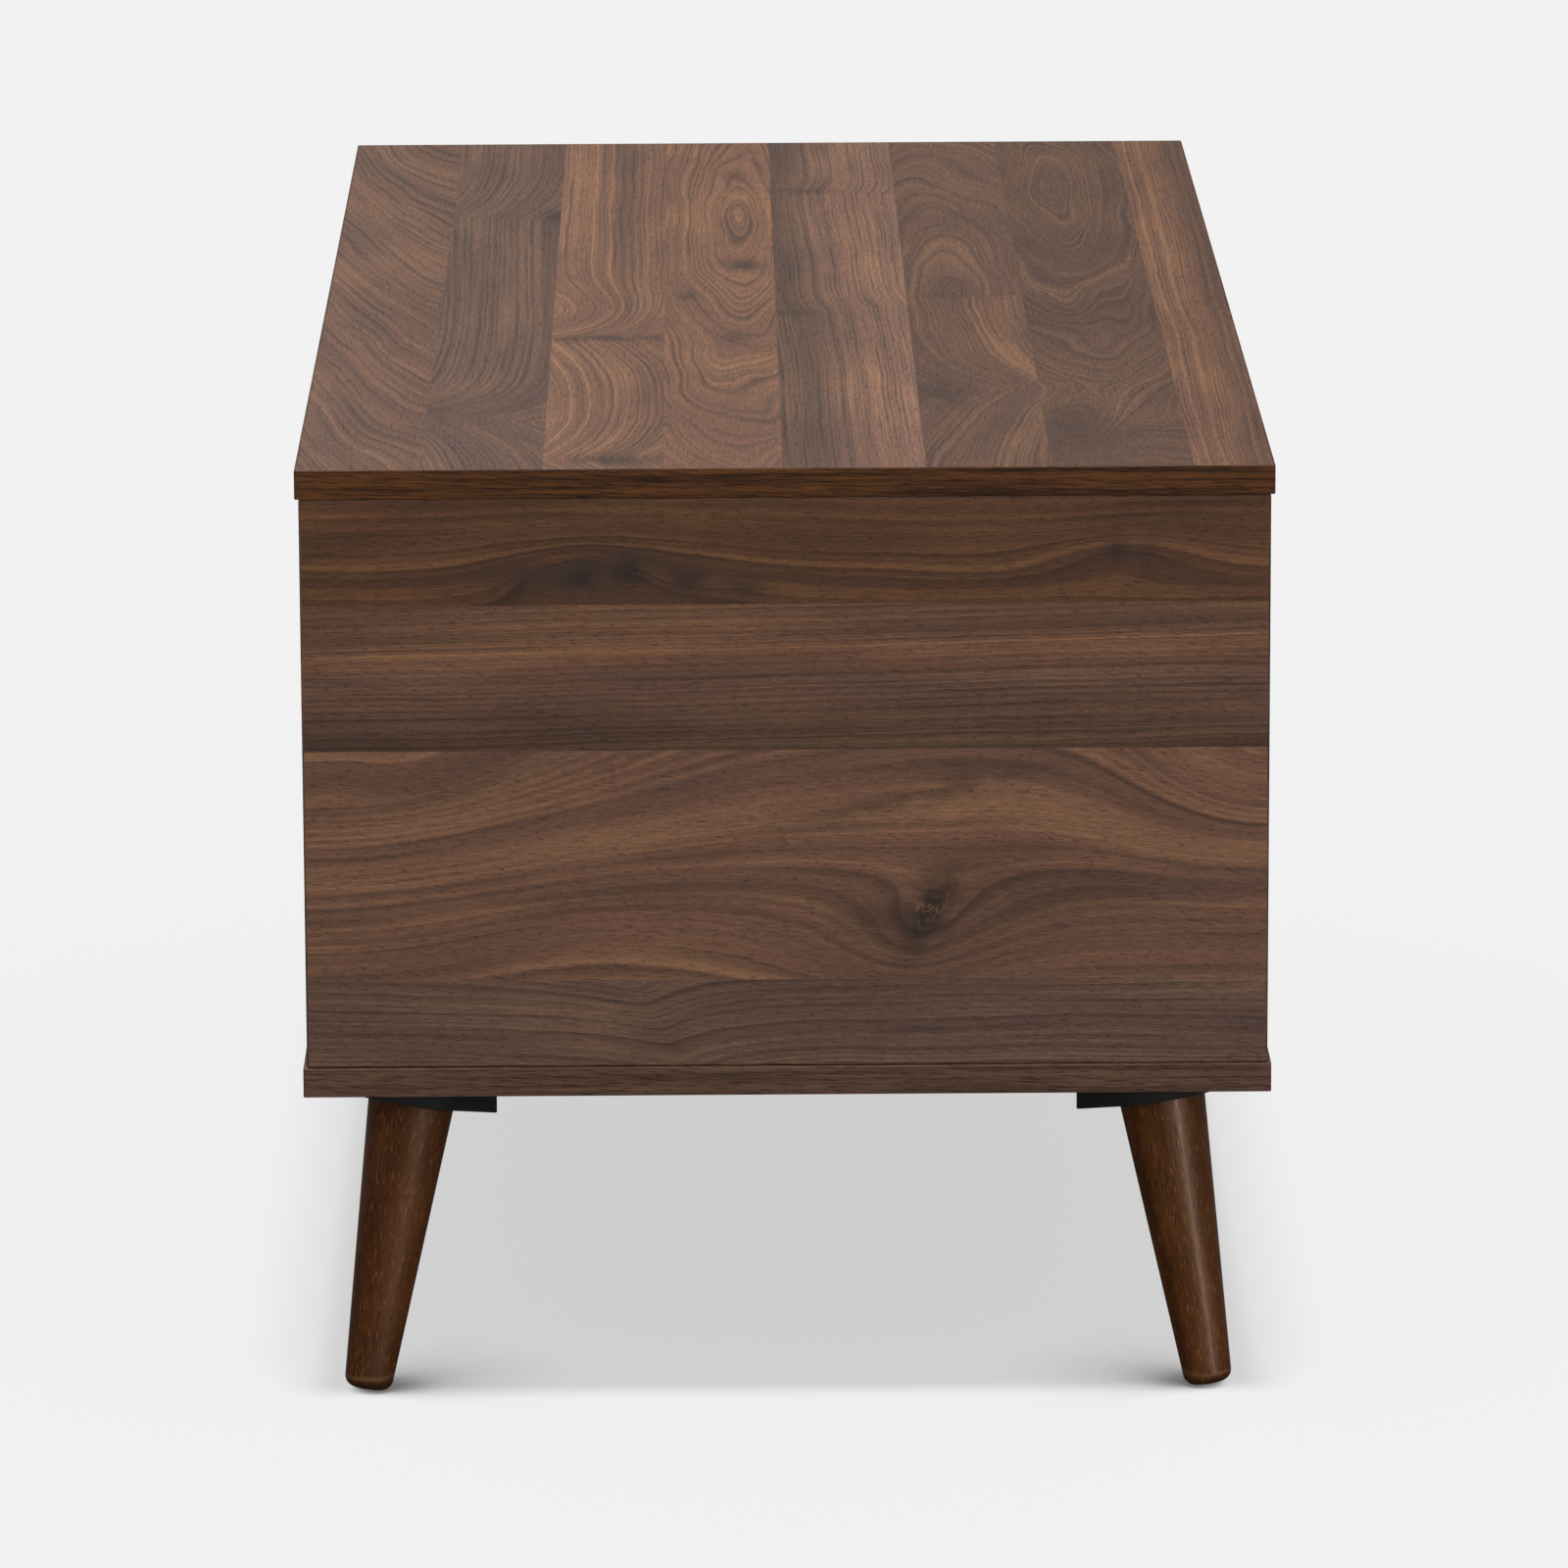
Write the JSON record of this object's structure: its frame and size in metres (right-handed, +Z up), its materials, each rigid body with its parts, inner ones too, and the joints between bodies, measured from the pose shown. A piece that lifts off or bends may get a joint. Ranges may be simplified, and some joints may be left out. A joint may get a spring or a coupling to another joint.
{
  "type": "coffee table",
  "caption": "Storage coffee table: walnut laminate case with flush drawers below open compartments, on splayed tapered legs.",
  "frame": {"origin": "on the floor, under the middle of the top", "axes": "+X along the table's length, +Y across it away from the drawer fronts, +Z up; the picture looks along -X"},
  "size_m": [1, 0.5, 0.496],
  "materials": {
    "top_laminate": "satin plank-print walnut laminate",
    "panel_laminate": "satin walnut laminate",
    "drawer_board": "matt walnut foil",
    "leg_wood": "semi-gloss dark stained wood",
    "black_plastic": "satin moulded black",
    "zinc": "zinc plated",
    "rail_steel": "zinc plated sheet steel"
  },
  "bodies": {
    "case": {"top_board": "top_laminate", "bottom_board": "panel_laminate", "end_panel_right": "panel_laminate", "end_panel_left": "panel_laminate", "centre_partition": "panel_laminate", "shelf_right": "panel_laminate", "shelf_left": "panel_laminate", "rear_panel_right": "panel_laminate", "rear_panel_left": "panel_laminate", "leg_front_right": "leg_wood", "leg_rear_right": "leg_wood", "leg_front_left": "leg_wood", "leg_rear_left": "leg_wood", "leg_bracket_front_right": "black_plastic", "leg_bracket_rear_right": "black_plastic", "leg_bracket_front_left": "black_plastic", "leg_bracket_rear_left": "black_plastic", "leg_bolt_front_right": "zinc", "leg_bolt_rear_right": "zinc", "leg_bolt_front_left": "zinc", "leg_bolt_rear_left": "zinc", "cam_lock_right_front_top": "zinc", "cam_lock_right_front_bottom": "zinc", "cam_lock_right_rear_top": "zinc", "cam_lock_right_rear_bottom": "zinc", "cam_lock_left_front_top": "zinc", "cam_lock_left_front_bottom": "zinc", "cam_lock_left_rear_top": "zinc", "cam_lock_left_rear_bottom": "zinc", "cam_bolt_right_front_top": "zinc", "cam_bolt_right_front_bottom": "zinc", "cam_bolt_right_rear_top": "zinc", "cam_bolt_right_rear_bottom": "zinc", "cam_bolt_left_front_top": "zinc", "cam_bolt_left_front_bottom": "zinc", "cam_bolt_left_rear_top": "zinc", "cam_bolt_left_rear_bottom": "zinc", "case_rail_right_outer": "rail_steel", "case_rail_right_inner": "rail_steel", "case_rail_left_outer": "rail_steel", "case_rail_left_inner": "rail_steel"},
    "drawer_right": {"drawer_right_front": "panel_laminate", "drawer_right_side_outer": "drawer_board", "drawer_right_side_inner": "drawer_board", "drawer_right_back": "drawer_board", "drawer_right_bottom": "drawer_board", "drawer_rail_right_outer": "rail_steel", "drawer_rail_right_inner": "rail_steel"},
    "drawer_left": {"drawer_left_front": "panel_laminate", "drawer_left_side_outer": "drawer_board", "drawer_left_side_inner": "drawer_board", "drawer_left_back": "drawer_board", "drawer_left_bottom": "drawer_board", "drawer_rail_left_outer": "rail_steel", "drawer_rail_left_inner": "rail_steel"}
  },
  "joints": [
    {"name": "drawer_right_slide", "type": "slide", "parent": "case", "child": "drawer_right", "axis": [0, -1, 0], "range_m": [0, 0.3]},
    {"name": "drawer_left_slide", "type": "slide", "parent": "case", "child": "drawer_left", "axis": [0, -1, 0], "range_m": [0, 0.3]}
  ]
}
